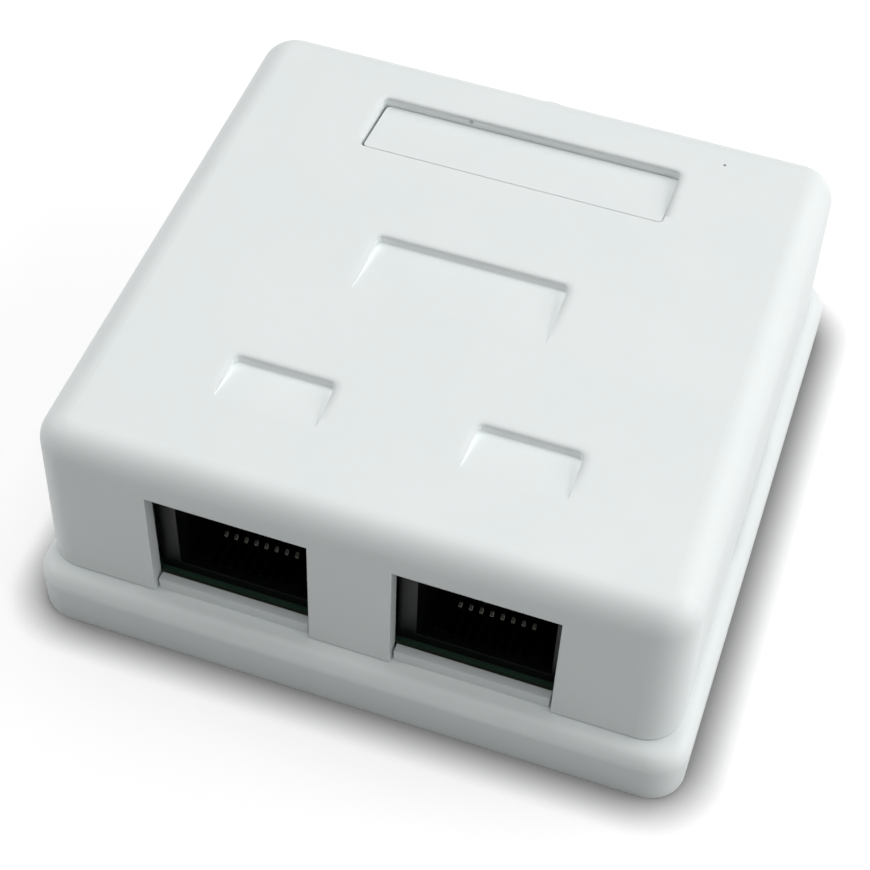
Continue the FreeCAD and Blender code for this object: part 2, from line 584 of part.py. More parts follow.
def make_insert(centre):
    """Contact carrier: a grooved slab under the plug space and an upright comb at its end."""
    x = about(centre, INSERT_W / 2)
    comb_y = JACK_Y + PLUG_DEPTH
    slab_y = JACK_Y + JACK_SILL + INSERT_GAP
    run_z = about(PLUG_Z - CONTACT_RUN_DROP, CONTACT_T / 2 + CONTACT_SLOT_GAP)
    slab_end = JACK_Y + JACK_DEPTH - INSERT_GAP
    slab = block(x, (slab_y, slab_end), (BOARD_TOP + INSERT_GAP / 2, PLUG_Z - INSERT_GAP / 2))
    comb = block(x, (comb_y, comb_y + INSERT_WALL), (PLUG_Z - JACK_FLOOR / 2, PLUG_TOP - INSERT_GAP))
    cuts = []
    for number in range(CONTACT_COUNT):
        groove_x = about(contact_x(centre, number), CONTACT_W / 2 + CONTACT_SLOT_GAP)
        tail = about(tail_y(number), CONTACT_T / 2 + CONTACT_SLOT_GAP)
        comb_z = (PLUG_Z + COMB_LOW, PLUG_TOP - COMB_HIGH)
        cuts.append(block(groove_x, (slab_y - CUT, comb_y), (run_z[0], PLUG_Z + CUT)))
        cuts.append(block(groove_x, (comb_y - CUT, tail[1]), run_z))
        cuts.append(block(groove_x, tail, (BOARD_TOP - CUT, run_z[1])))
        cuts.append(block(groove_x, (comb_y - CUT, comb_y + COMB_DEPTH), comb_z))
    return slab.fuse(comb).cut(cuts).removeSplitter()


def make_contact(centre, number):
    """Spring wire: tail through the board, hidden run forward, tight bend, slope back into the comb."""
    run_z = PLUG_Z - CONTACT_RUN_DROP
    nose_y = JACK_Y + JACK_SILL + CONTACT_NOSE
    slope_z = run_z + CONTACT_RISE
    tip_y = JACK_Y + PLUG_DEPTH + COMB_DEPTH / 2
    tip_z = slope_z + (tip_y - nose_y) * math.tan(math.radians(CONTACT_SLOPE_DEG))
    tail = tail_y(number)
    path = [(tail, TAIL_Z), (tail, run_z), (nose_y, run_z), (nose_y, slope_z), (tip_y, tip_z)]
    bends = (CONTACT_BEND_R, CONTACT_BEND_R, CONTACT_NOSE_R)
    return strip(path, bends, CONTACT_T, about(contact_x(centre, number), CONTACT_W / 2))


def make_wiring_block(centre):
    """Block with two rows of slotted towers, a low ridge between them and a pocket for each blade."""
    body = block(about(centre, BLOCK_W / 2), about(BLOCK_Y, BLOCK_D / 2), (BOARD_TOP, BLOCK_TOP))
    cuts = [block(about(centre, BLOCK_W), about(BLOCK_Y, RIDGE_W / 2), (RIDGE_TOP, BLOCK_TOP + CUT))]
    for x, y in blade_places(centre):
        outward = math.copysign(1, y - BLOCK_Y)
        slot_y = sorted((BLOCK_Y + outward * RIDGE_W / 2, BLOCK_Y + outward * BLOCK_D))
        slot_z = (BLOCK_TOP - WIRE_SLOT_DEPTH, BLOCK_TOP + CUT)
        cuts.append(block(about(x, WIRE_SLOT_W / 2), slot_y, slot_z))
        pocket_x = about(x, BLADE_W / 2 + BLADE_GAP)
        pocket_y = about(y, BLADE_T / 2 + BLADE_GAP)
        cuts.append(block(pocket_x, pocket_y, (BOARD_TOP - CUT, BLOCK_TOP - BLADE_TOP + BLADE_GAP)))
    return body.cut(cuts).removeSplitter()


def make_blade(x, y):
    """Forked blade: tail, wide foot, two prongs with a narrow slot that flares at its mouth."""
    foot = BOARD_TOP + BLADE_FOOT
    top = BLOCK_TOP - BLADE_TOP
    right = [
        (BLADE_TAIL_W / 2, TAIL_Z),
        (BLADE_TAIL_W / 2, foot),
        (BLADE_W / 2, foot),
        (BLADE_W / 2, top),
        (BLADE_MOUTH_W / 2, top),
        (BLADE_SLOT_W / 2, top - BLADE_MOUTH_H),
        (BLADE_SLOT_W / 2, top - BLADE_SLOT_DEPTH),
    ]
    outline = right + [(-across, z) for across, z in reversed(right)]
    loop = [vec(x + across, y - BLADE_T / 2, z) for across, z in outline]
    return Part.Face(Part.makePolygon(loop + loop[:1])).extrude(vec(0, BLADE_T, 0))


def make_wiring_label(centre):
    """Thin strip on the ridge of a wiring block."""
    x = about(centre, BLOCK_W / 2 - LABEL_MARGIN)
    return block(x, about(BLOCK_Y, RIDGE_W / 2 - LABEL_MARGIN), (RIDGE_TOP, RIDGE_TOP + LABEL_T))


def make_board_screws():
    """The two equal screws that hold the board down."""
    tip = BOARD_TOP - BOARD_SCREW_L
    size = (BOARD_SCREW_HEAD_R, BOARD_SCREW_HEAD_H, BOARD_TOP, BOARD_SCREW_R, tip)
    return Part.makeCompound([screw(0, y, *size) for y in BOARD_SCREW_Y])


nodes = {
    "base": make_base(),
    "cover": make_cover(),
    "label_plate": make_label_plate(),
    "cover_screw": screw(
        0, SCREW_Y, COVER_SCREW_HEAD_R, COVER_SCREW_HEAD_H, HEAD_SEAT_Z, COVER_SCREW_R, SCREW_TIP
    ),
    "circuit_board": make_board(),
    "board_screws": make_board_screws(),
}
for side, sign in SIDES:
    centre = sign * PORT_X
    nodes["jack_housing_" + side] = make_housing(centre)
    nodes["jack_insert_" + side] = make_insert(centre)
    nodes["wiring_block_" + side] = make_wiring_block(centre)
    nodes["wiring_label_" + side] = make_wiring_label(centre)
    for number in range(CONTACT_COUNT):
        nodes[f"jack_contact_{side}_{number + 1}"] = make_contact(centre, number)
    for number, (x, y) in enumerate(blade_places(centre)):
        nodes[f"wiring_blade_{side}_{number + 1}"] = make_blade(x, y)

for name, shape in nodes.items():
    shape.exportStep("parts/" + name + ".step")
print(len(nodes), "nodes", round(2 * BASE_X, 3), round(BASE_D, 3), round(TOP_Z, 3))
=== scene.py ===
import math

import bmesh
import bpy
import numpy as np
from mathutils import Matrix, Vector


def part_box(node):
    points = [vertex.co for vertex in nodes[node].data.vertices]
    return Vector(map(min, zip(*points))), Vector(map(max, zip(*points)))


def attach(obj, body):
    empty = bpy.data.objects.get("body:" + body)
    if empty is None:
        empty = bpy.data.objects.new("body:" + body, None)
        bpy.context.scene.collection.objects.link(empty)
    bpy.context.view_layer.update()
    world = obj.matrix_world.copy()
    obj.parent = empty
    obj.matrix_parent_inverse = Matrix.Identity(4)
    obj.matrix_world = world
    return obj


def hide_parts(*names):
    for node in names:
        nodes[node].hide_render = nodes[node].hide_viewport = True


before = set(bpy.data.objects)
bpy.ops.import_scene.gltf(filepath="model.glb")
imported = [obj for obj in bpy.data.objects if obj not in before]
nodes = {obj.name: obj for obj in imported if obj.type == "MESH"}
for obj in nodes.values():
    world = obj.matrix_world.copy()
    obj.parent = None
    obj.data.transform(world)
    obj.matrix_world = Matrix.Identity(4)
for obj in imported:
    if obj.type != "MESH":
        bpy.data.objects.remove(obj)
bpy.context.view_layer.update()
scene = bpy.context.scene

# The camera looks down on the ports from the front right, from about 20 cm,
# a little rolled, with a long lens. The sizes in this script are in millimetres.
MM = 0.001
EYE = (34.50, -120.93, 158.52)
HEADING_DEG = 16.88
DIP_DEG = 51.09
ROLL_DEG = 2.64
LENS = 81.64

lens = bpy.data.cameras.new("camera")
lens.lens = LENS
lens.clip_start = 0.01
camera = bpy.data.objects.new("camera", lens)
camera.matrix_world = (
    Matrix.Translation([value * MM for value in EYE])
    @ Matrix.Rotation(math.radians(HEADING_DEG), 4, "Z")
    @ Matrix.Rotation(math.radians(90 - DIP_DEG), 4, "X")
    @ Matrix.Rotation(math.radians(ROLL_DEG), 4, "Z")
)
scene.collection.objects.link(camera)
scene.camera = camera


# Base: the tray that is screwed to the wall, moulded in white ABS with a fine satin grain.
# Ejector pins have left round marks on its floor, and the edges carry the small round of the mould.
WHITE = (0.800, 0.838, 0.834)
WHITE_DEEP = (0.780, 0.822, 0.818)
SHELL_EDGE = 0.18
PIN_R = 1.6
BASE_PINS = ((-24.2, -20.0), (24.2, -20.0), (-8.0, -3.0), (8.0, -3.0), (-24.2, 21.0), (24.2, 21.0))
PIN_DEPTH = 14  # in depths of the grain
TRAY_FLOOR = 2.0
GRAIN_DEPTH = 0.0035


class Signal:
    """A number that changes over a surface. Sums, products and comparisons of signals become Math nodes."""

    def __init__(self, finish, socket):
        self.finish = finish
        self.socket = socket

    def calc(self, operation, *values):
        node = self.finish.add("ShaderNodeMath", {"operation": operation}, dict(enumerate(values)))
        return Signal(self.finish, node.outputs[0])

    def __add__(self, other):
        return self.calc("ADD", self, other)

    def __radd__(self, other):
        return self.calc("ADD", other, self)

    def __sub__(self, other):
        return self.calc("SUBTRACT", self, other)

    def __rsub__(self, other):
        return self.calc("SUBTRACT", other, self)

    def __mul__(self, other):
        return self.calc("MULTIPLY", self, other)

    def __rmul__(self, other):
        return self.calc("MULTIPLY", other, self)

    def __truediv__(self, other):
        return self.calc("DIVIDE", self, other)

    def __lt__(self, other):
        return self.calc("LESS_THAN", self, other)

    def __gt__(self, other):
        return self.calc("GREATER_THAN", self, other)

    def __mod__(self, other):
        return self.calc("FLOORED_MODULO", self, other)

    def __abs__(self):
        return self.calc("ABSOLUTE", self)


class Finish:
    """One material: a Principled shader with constants on its sockets, and the nodes that vary it."""

    def __init__(self, name, colour, constants):
        self.material = bpy.data.materials.new(name)
        self.material.use_nodes = True
        self.material.diffuse_color = (*colour, 1)
        self.tree = self.material.node_tree
        self.shader = self.tree.nodes["Principled BSDF"]
        self.shader.inputs["Base Color"].default_value = (*colour, 1)
        for socket, value in constants.items():
            self.shader.inputs[socket].default_value = value
        self.place = self.add("ShaderNodeTexCoord", {}, {}).outputs["Object"]
        axes = self.add("ShaderNodeSeparateXYZ", {}, {"Vector": self.place})
        self.x, self.y, self.z = [Signal(self, axes.outputs[axis]) / MM for axis in "XYZ"]

    def add(self, kind, settings, inputs):
        """Adds a node with its settings, then links or fills its sockets."""
        node = self.tree.nodes.new(kind)
        for name, value in settings.items():
            setattr(node, name, value)
        for name, value in inputs.items():
            self.feed(node.inputs[name], value)
        return node

    def feed(self, socket, value):
        if isinstance(value, Signal):
            value = value.socket
        if isinstance(value, bpy.types.NodeSocket):
            self.tree.links.new(value, socket)
        elif isinstance(value, tuple) and len(value) == 3 and len(socket.default_value) == 4:
            socket.default_value = (*value, 1)
        else:
            socket.default_value = value

    def noise(self, size, detail=2.0):
        """Noise from 0 to 1 whose grains are about one size in millimetres."""
        inputs = {"Vector": self.place, "Scale": 1 / (size * MM), "Detail": detail}
        return Signal(self, self.add("ShaderNodeTexNoise", {}, inputs).outputs["Fac"])

    def spread(self, signal, low, high):
        """The signal stretched so that low becomes 0 and high becomes 1, cut off beyond both."""
        inputs = {"Value": signal, "From Min": low, "From Max": high}
        node = self.add("ShaderNodeMapRange", {"interpolation_type": "SMOOTHSTEP"}, inputs)
        return Signal(self, node.outputs[0])

    def distance(self, point):
        """Distance from a point, in millimetres."""
        inputs = {0: self.place, 1: [value * MM for value in point]}
        away = self.add("ShaderNodeVectorMath", {"operation": "DISTANCE"}, inputs)
        return Signal(self, away.outputs["Value"]) / MM

    def within(self, axis, low, high):
        """1 where a coordinate lies between two values, 0 elsewhere."""
        return (axis > low) * (axis < high)

    def mix(self, mask, one, other):
        """Colour that goes from one to the other as the mask goes from 0 to 1."""
        node = self.add("ShaderNodeMix", {"data_type": "RGBA"}, {"Factor": mask, 6: one, 7: other})
        return node.outputs[2]

    def colour(self, value):
        self.feed(self.shader.inputs["Base Color"], value)

    def roughness(self, value):
        self.feed(self.shader.inputs["Roughness"], value)

    def rounded(self, radius):
        """Normals that round the edges by a radius in millimetres."""
        return self.add("ShaderNodeBevel", {"samples": 8}, {"Radius": radius * MM}).outputs[0]

    def relief(self, height, depth, normals=None):
        """Bumps of a depth in millimetres where the height goes from 0 to 1, over the given normals."""
        inputs = {"Height": height, "Strength": 1.0, "Distance": depth * MM}
        if normals:
            inputs["Normal"] = normals
        bump = self.add("ShaderNodeBump", {}, inputs)
        self.feed(self.shader.inputs["Normal"], bump.outputs["Normal"])


def white_plastic(name):
    """White ABS: an even colour with faint clouds, and the grain and slow ripple of its relief."""
    finish = Finish(name, WHITE, {"Roughness": 0.36, "Specular IOR Level": 0.5})
    cloud = finish.noise(9, 3)
    grain = finish.noise(0.14)
    ripple = finish.noise(1.6)
    finish.roughness(0.33 + 0.08 * cloud + 0.05 * grain)
    colour = finish.mix(finish.spread(cloud, 0.3, 0.7), WHITE_DEEP, WHITE)
    return finish, colour, 0.7 * grain + 0.3 * ripple


def pin_marks(finish, places, level):
    """1 on the round marks that ejector pins leave at one height, 0 elsewhere."""
    marks = 0
    for x, y in places:
        marks = marks + (finish.distance((x, y, level)) < PIN_R)
    return marks


def dress(piece, finish):
    """Gives a piece, or a solid that is shown as it is, its one material."""
    if piece.material_slots:
        for slot in piece.material_slots:
            slot.material = finish.material
    else:
        piece.data.materials.append(finish.material)


base_plastic, base_colour, base_grain = white_plastic("white_base_plastic")
base_plastic.colour(base_colour)
base_marks = PIN_DEPTH * pin_marks(base_plastic, BASE_PINS, TRAY_FLOOR)
base_plastic.relief(base_grain - base_marks, GRAIN_DEPTH, base_plastic.rounded(SHELL_EDGE))
dress(nodes["base"], base_plastic)


# Circuit board: glass epoxy with a green solder mask over copper tracks, a white printed
# outline round each wiring block, and the bare laminate at its cut edges.
SIDES = ("left", "right")
MASK_GREEN = (0.026, 0.066, 0.044)
MASK_DARK = (0.020, 0.050, 0.034)
TRACK_GREEN = (0.045, 0.130, 0.080)
LAMINATE = (0.085, 0.105, 0.070)
PRINT_WHITE = (0.62, 0.64, 0.62)
TRACK_PITCH = 1.27
TRACK_W = 0.4
TRACK_SLANT = 0.25
TRACK_DEPTH = 0.03
TRACKS_FRONT_Y = -11.0
TRACKS_REAR_GAP = 3.5
MASK_SKIN = 0.03
PRINT_W = 0.2
PRINT_GAP = 0.5


def in_mm(corners):
    """The two corners of a box in metres, as lists in millimetres."""
    return [[value / MM for value in corner] for corner in corners]


board_low, board_high = in_mm(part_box("circuit_board"))
board_finish = Finish("board_laminate_and_mask", MASK_GREEN, {"Roughness": 0.3, "Coat Weight": 0.3})
weave = board_finish.noise(0.35, 3)
x, y, z = board_finish.x, board_finish.y, board_finish.z
tracks = abs((x + TRACK_SLANT * y) % TRACK_PITCH - TRACK_PITCH / 2) < TRACK_W / 2
board_colour = board_finish.mix(weave, MASK_DARK, MASK_GREEN)
covered = tracks * board_finish.within(y, TRACKS_FRONT_Y, board_high[1] - TRACKS_REAR_GAP)
board_colour = board_finish.mix(covered, board_colour, TRACK_GREEN)
for side in SIDES:
    low, high = in_mm(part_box("wiring_block_" + side))
    outer = board_finish.within(x, low[0] - PRINT_GAP, high[0] + PRINT_GAP)
    outer = outer * board_finish.within(y, low[1] - PRINT_GAP, high[1] + PRINT_GAP)
    inner = board_finish.within(x, low[0] - PRINT_GAP + PRINT_W, high[0] + PRINT_GAP - PRINT_W)
    inner = inner * board_finish.within(y, low[1] - PRINT_GAP + PRINT_W, high[1] + PRINT_GAP - PRINT_W)
    board_colour = board_finish.mix(outer - inner, board_colour, PRINT_WHITE)
board_edge = board_finish.within(z, board_low[2] + MASK_SKIN, board_high[2] - MASK_SKIN)
board_colour = board_finish.mix(board_edge, board_colour, LAMINATE)
board_finish.colour(board_colour)
board_finish.roughness(0.28 + 0.14 * weave + 0.3 * board_edge)
board_finish.relief(tracks + 0.1 * weave, TRACK_DEPTH)
dress(nodes["circuit_board"], board_finish)


# Socket housings and contact carriers: glass-filled black plastic, with the faint flow of
# the moulding. The housing snaps into the board with two posts, and the carrier slides into it.
BLACK = (0.0030, 0.0038, 0.0036)
BLACK_GREY = (0.0050, 0.0062, 0.0058)
HOUSING_EDGE = 0.12
HOUSING_GRAIN = 0.004

black_plastic = Finish("black_socket_plastic", BLACK, {"Roughness": 0.3, "Specular IOR Level": 0.2})
flow = black_plastic.noise(1.1, 4)
black_plastic.colour(black_plastic.mix(flow, BLACK, BLACK_GREY))
black_plastic.roughness(0.26 + 0.12 * flow)
black_plastic.relief(black_plastic.noise(0.2), HOUSING_GRAIN, black_plastic.rounded(HOUSING_EDGE))
for side in SIDES:
    dress(nodes["jack_housing_" + side], black_plastic)
    dress(nodes["jack_insert_" + side], black_plastic)


# Contact springs: phosphor-bronze wire with a flash of pale gold, whose colour is darkened far below
# gold's as painted shade of the socket's inside. Each comes up through the board, runs forward
# under the carrier, bends up at the front and slopes back into the comb.
# Painted shade: both plating colours, worn and unworn, are darkened for the shade inside the socket.
SHADED_GOLD = (0.21, 0.20, 0.175)
SHADED_GOLD_WORN = (0.14, 0.135, 0.12)
SPRING_COUNT = 8
SPRING_W = 0.45
SPRING_T = 0.38
SPRING_RUN_Z = 7.4
SPRING_RISE = 1.15
SPRING_BEND_R = 0.4
SPRING_NOSE_R = 0.6
SPRING_SLOPE_DEG = 18.0
SPRING_COMB_Y = -14.7
SPRING_END_INSET = SPRING_T / 4
SPRING_END_SIZE = 0.75  # of the wire, where its end face meets the rounded rim
SPRING_TAIL_Y = (-15.0, -12.46)
SOFT_POWER = 0.45
WIRE_SIDES = 20
BEND_STEPS = 9
MERGE = 0.0001


def turn_points(corners, radii):
    """Points and directions along straight runs joined by arcs, in a plane. A corner with turn t and
    radius r is cut back by r tan(t/2), and its arc is start + r (sin s along + (1 - cos s) across)."""
    corners = np.array(corners, float)
    ways = np.diff(corners, axis=0)
    ways /= np.linalg.norm(ways, axis=1)[:, None]
    points = [corners[:1]]
    heads = [ways[:1]]
    for corner, radius, way, after in zip(corners[1:], radii, ways, ways[1:]):
        turn = math.atan2(way[0] * after[1] - way[1] * after[0], way @ after)
        across = np.array([-way[1], way[0]]) * math.copysign(1, turn)
        start = corner - way * radius * math.tan(abs(turn) / 2)
        s = np.linspace(0, abs(turn), BEND_STEPS)[:, None]
        points.append(start + radius * (np.sin(s) * way + (1 - np.cos(s)) * across))
        heads.append(np.cos(s) * way + np.sin(s) * across)
    return np.vstack(points + [corners[-1:]]), np.vstack(heads + [ways[-1:]])


def grid_mesh(name, points):
    """Closed mesh of one or more grids (copy, row, column), whose last column joins the first. Rows
    that shrink to a point close the ends: their points are merged, and the faces turned outwards."""
    copies, rows, columns = points.shape[:3]
    number = np.arange(copies * rows * columns).reshape(copies, rows, columns)
    number = np.concatenate([number, number[:, :, :1]], axis=2)
    cells = [number[:, :-1, :-1], number[:, :-1, 1:], number[:, 1:, 1:], number[:, 1:, :-1]]
    mesh = bpy.data.meshes.new(name)
    faces = np.stack(cells, axis=-1).reshape(-1, 4)
    mesh.from_pydata((points.reshape(-1, 3) * MM).tolist(), [], faces.tolist())
    form = bmesh.new()
    form.from_mesh(mesh)
    bmesh.ops.remove_doubles(form, verts=form.verts, dist=MERGE * MM)
    bmesh.ops.recalc_face_normals(form, faces=form.faces)
    form.to_mesh(mesh)
    form.free()
    mesh.shade_smooth()
    return mesh


def place(name, mesh, finish, body, slot, *replaced):
    """Puts a mesh into the scene as a piece with its material, its body, and the solids it stands for."""
    piece = bpy.data.objects.new(name, mesh)
    scene.collection.objects.link(piece)
    dress(piece, finish)
    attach(piece, body)
    if replaced:
        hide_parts(*replaced)


def spring_points(x, nose_y, tail_y, tail_z):
    """Soft-cornered rectangle carried along the bent wire. Its outline is W/2 |cos a|^p by T/2 |sin a|^p
    with their signs, and it shrinks to a point at both ends."""
    slope_z = SPRING_RUN_Z + SPRING_RISE
    rise = (SPRING_COMB_Y - nose_y) * math.tan(math.radians(SPRING_SLOPE_DEG))
    corners = [
        (tail_y, tail_z),
        (tail_y, SPRING_RUN_Z),
        (nose_y, SPRING_RUN_Z),
        (nose_y, slope_z),
        (SPRING_COMB_Y, slope_z + rise),
    ]
    path, ways = turn_points(corners, (SPRING_BEND_R, SPRING_BEND_R, SPRING_NOSE_R))
    first = path[:1] + ways[:1] * SPRING_END_INSET
    last = path[-1:] - ways[-1:] * SPRING_END_INSET
    path = np.vstack([path[[0, 0]], first, path[1:-1], last, path[[-1, -1]]])
    ways = np.vstack([ways[[0, 0, 0]], ways[1:-1], ways[[-1, -1, -1]]])
    size = np.ones(len(path))
    size[[0, -1]] = 0
    size[[1, -2]] = SPRING_END_SIZE
    a = np.linspace(0, 2 * math.pi, WIRE_SIDES, endpoint=False)
    wide = SPRING_W / 2 * np.sign(np.cos(a)) * np.abs(np.cos(a)) ** SOFT_POWER
    thick = SPRING_T / 2 * np.sign(np.sin(a)) * np.abs(np.sin(a)) ** SOFT_POWER
    along_x = x + size[:, None] * wide
    along_y = path[:, :1] - ways[:, 1:] * size[:, None] * thick
    along_z = path[:, 1:] + ways[:, :1] * size[:, None] * thick
    return np.stack([along_x, along_y, along_z], axis=-1)


gold = Finish("gold_plating_painted_shade", SHADED_GOLD, {"Metallic": 1.0, "Roughness": 0.3})
wear = gold.noise(0.12, 2)
gold.colour(gold.mix(wear, SHADED_GOLD, SHADED_GOLD_WORN))
gold.roughness(0.18 + 0.12 * wear)
for side in SIDES:
    for number in range(SPRING_COUNT):
        node = f"jack_contact_{side}_{number + 1}"
        low, high = in_mm(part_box(node))
        middle = (low[0] + high[0]) / 2
        wire = spring_points(middle, low[1] + SPRING_T / 2, SPRING_TAIL_Y[number % 2], low[2])
        mesh = grid_mesh("spring", wire[None])
        place(f"contact_spring_{side}_{number + 1}", mesh, gold, "base", "contact_gold", node)


# Wiring blocks: cream PBT with a slot for each wire, and a film label on the ridge whose
# colour pairs say which wire goes where: near row blue and orange, far row green and brown.
BLOCK_CREAM = (0.60, 0.59, 0.53)
BLOCK_PALE = (0.66, 0.65, 0.60)
BLOCK_EDGE = 0.1
BLOCK_GRAIN = 0.004
LABEL_PAPER = (0.72, 0.71, 0.66)
LABEL_SHADE = (0.66, 0.65, 0.60)
PAIR_COLOURS = (
    ((0.020, 0.10, 0.42), (0.75, 0.20, 0.02)),
    ((0.020, 0.26, 0.07), (0.16, 0.065, 0.025)),
)
BLADE_PITCH = 3.8
CHIP_W = 3.2
CHIP_D = 0.85
CHIP_ROW = 0.62 * CHIP_D  # from the middle of the label to the middle of a row
STRIPE = 0.55

block_finish = Finish("wiring_block_plastic", BLOCK_CREAM, {"Roughness": 0.4})
block_cloud = block_finish.noise(2.5, 3)
block_finish.colour(block_finish.mix(block_cloud, BLOCK_CREAM, BLOCK_PALE))
block_finish.roughness(0.36 + 0.14 * block_cloud)
block_finish.relief(block_finish.noise(0.16), BLOCK_GRAIN, block_finish.rounded(BLOCK_EDGE))
for side in SIDES:
    label = "wiring_label_" + side
    low, high = in_mm(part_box(label))
    middle_x = (low[0] + high[0]) / 2
    middle_y = (low[1] + high[1]) / 2
    film = Finish("label_film_" + side, LABEL_PAPER, {"Roughness": 0.35, "Coat Weight": 0.4})
    film_colour = film.mix(film.noise(0.8, 3), LABEL_PAPER, LABEL_SHADE)
    across = film.x - (middle_x - 2 * BLADE_PITCH)
    in_chip = abs(across % BLADE_PITCH - BLADE_PITCH / 2) < CHIP_W / 2
    plain = (across % (2 * BLADE_PITCH)) > BLADE_PITCH
    striped = ((film.x + film.y) % (2 * STRIPE)) < STRIPE
    ink = in_chip * (plain + (1 - plain) * striped)
    for row, (first, second) in zip((-1, 1), PAIR_COLOURS):
        in_row = abs(film.y - (middle_y + row * CHIP_ROW)) < CHIP_D / 2
        pair = film.mix(across > 2 * BLADE_PITCH, first, second)
        film_colour = film.mix(ink * in_row, film_colour, pair)
    film.colour(film_colour)
    dress(nodes["wiring_block_" + side], block_finish)
    dress(nodes[label], film)


# Wiring blades: forked strips of tinned bronze that cut into the wires, soldered to the
# board from below, as the springs' tails are. Each joint is a small cone of solder.
TIN = (0.62, 0.63, 0.64)
TIN_DULL = (0.50, 0.51, 0.52)
SOLDER_H = 0.85
SOLDER_FOOT_R = 0.72
SOLDER_TOP_R = 0.30
SOLDER_ROWS = 9
SOLDER_SIDES = 16

tin = Finish("tinned_bronze", TIN, {"Metallic": 1.0, "Roughness": 0.3})
tarnish = tin.noise(0.6, 3)
tin.colour(tin.mix(tarnish, TIN, TIN_DULL))
tin.roughness(0.22 + 0.22 * tarnish)


def solder_points(places, board_z):
    """Hollow-sided cones below the board: the radius falls from the foot to the tip as (1 - h)^2, and
    each closes to a point at its foot and its tip."""
    h = np.linspace(0, 1, SOLDER_ROWS)
    radius = SOLDER_TOP_R + (SOLDER_FOOT_R - SOLDER_TOP_R) * (1 - h) ** 2
    radius = np.concatenate([[0], radius, [0]])
    z = board_z - SOLDER_H * np.concatenate([[0], h, [1]])
    a = np.linspace(0, 2 * math.pi, SOLDER_SIDES, endpoint=False)
    x = places[:, 0, None, None] + radius[:, None] * np.cos(a)
    y = places[:, 1, None, None] + radius[:, None] * np.sin(a)
    return np.stack([x, y, np.broadcast_to(z[:, None], x.shape)], axis=-1)


for side in SIDES:
    tails = []
    for number in range(SPRING_COUNT):
        low, high = in_mm(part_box(f"jack_contact_{side}_{number + 1}"))
        tails.append(((low[0] + high[0]) / 2, SPRING_TAIL_Y[number % 2]))
        blade = f"wiring_blade_{side}_{number + 1}"
        low, high = in_mm(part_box(blade))
        tails.append(((low[0] + high[0]) / 2, (low[1] + high[1]) / 2))
        dress(nodes[blade], tin)
    joints = grid_mesh("solder_joints", solder_points(np.array(tails), board_low[2]))
    place("solder_joints_" + side, joints, tin, "base", "blade_tin")


# Screws: zinc-plated, with a pan head and a cross drive. Two hold the board on its posts
# and one holds the cover. Their shanks carry the coarse thread that cuts into plastic.
ZINC = (0.58, 0.60, 0.62)
ZINC_BLUE = (0.50, 0.54, 0.60)
THREAD_PITCH = 1.1
THREAD_DEPTH = 0.22  # as a part of the shank's radius
THREAD_WIDTH = 0.34  # half of a ridge's foot, as a part of the pitch
THREAD_ROWS_PER_TURN = 16
SHANK_SIDES = 40
TIP_H = 1.0
TIP_SIZE = 0.25  # of the shank's radius
BARE_H = 0.5
SEAT_CUT = 0.01
HEAD_MERGE = 0.0005
SHARP_DEG = 35
BOARD_SCREW_R = 1.2
BOARD_SCREW_Y = (-20.2, 6.0)
COVER_SCREW_R = 1.45
COVER_SCREW_HEAD_H = 1.8

zinc = Finish("zinc_plated_steel", ZINC, {"Metallic": 1.0, "Roughness": 0.3})
passivation = zinc.noise(1.2, 3)
zinc.colour(zinc.mix(passivation, ZINC, ZINC_BLUE))
zinc.roughness(0.22 + 0.2 * zinc.noise(0.4, 3))


def shank_points(centres, radius, tip_z, seat_z):
    """Threaded shank as a radius over height and angle: a core, a ridge that follows (z / pitch - angle
    / turn) and fades out below the head, and a tip that narrows to a point."""
    rows = int((seat_z - tip_z) / THREAD_PITCH * THREAD_ROWS_PER_TURN)
    z = np.linspace(tip_z, seat_z, rows)[:, None]
    a = np.linspace(0, 2 * math.pi, SHANK_SIDES, endpoint=False)
    phase = (z / THREAD_PITCH - a / (2 * math.pi)) % 1 - 0.5
    ridge = np.clip(1 - np.abs(phase) / THREAD_WIDTH, 0, 1)
    fade = np.clip((seat_z - BARE_H - z) / THREAD_PITCH, 0, 1)
    core = radius * (1 - THREAD_DEPTH)
    narrow = np.clip(TIP_SIZE + (1 - TIP_SIZE) * (z - tip_z) / TIP_H, 0, 1)
    r = (core + radius * THREAD_DEPTH * ridge * fade) * narrow
    r = np.vstack([np.zeros((1, SHANK_SIDES)), r, np.zeros((1, SHANK_SIDES))])
    z = np.vstack([z[:1], z, z[-1:]]) + np.zeros_like(r)
    x = centres[:, 0, None, None] + r * np.cos(a)
    y = centres[:, 1, None, None] + r * np.sin(a)
    return np.stack([x, y, np.broadcast_to(z, x.shape)], axis=-1)


def threaded(name, body, centres, radius, tip_z, seat_z):
    """The heads of a node's screws, cut off at their seat and closed, on new threaded shanks."""
    heads = bmesh.new()
    heads.from_mesh(nodes[name].data)
    bmesh.ops.remove_doubles(heads, verts=heads.verts, dist=HEAD_MERGE * MM)
    shanks = [vertex for vertex in heads.verts if vertex.co.z < (seat_z - SEAT_CUT) * MM]
    bmesh.ops.delete(heads, geom=shanks, context="VERTS")
    bmesh.ops.holes_fill(heads, edges=heads.edges, sides=0)
    bmesh.ops.recalc_face_normals(heads, faces=heads.faces)
    points = shank_points(np.array(centres), radius, tip_z, seat_z)
    heads.from_mesh(grid_mesh(name + "_shanks", points))
    mesh = bpy.data.meshes.new(name + "_threaded")
    heads.to_mesh(mesh)
    heads.free()
    mesh.shade_smooth()
    mesh.set_sharp_from_angle(angle=math.radians(SHARP_DEG))
    place(name + "_threaded", mesh, zinc, body, "screw_steel", name)


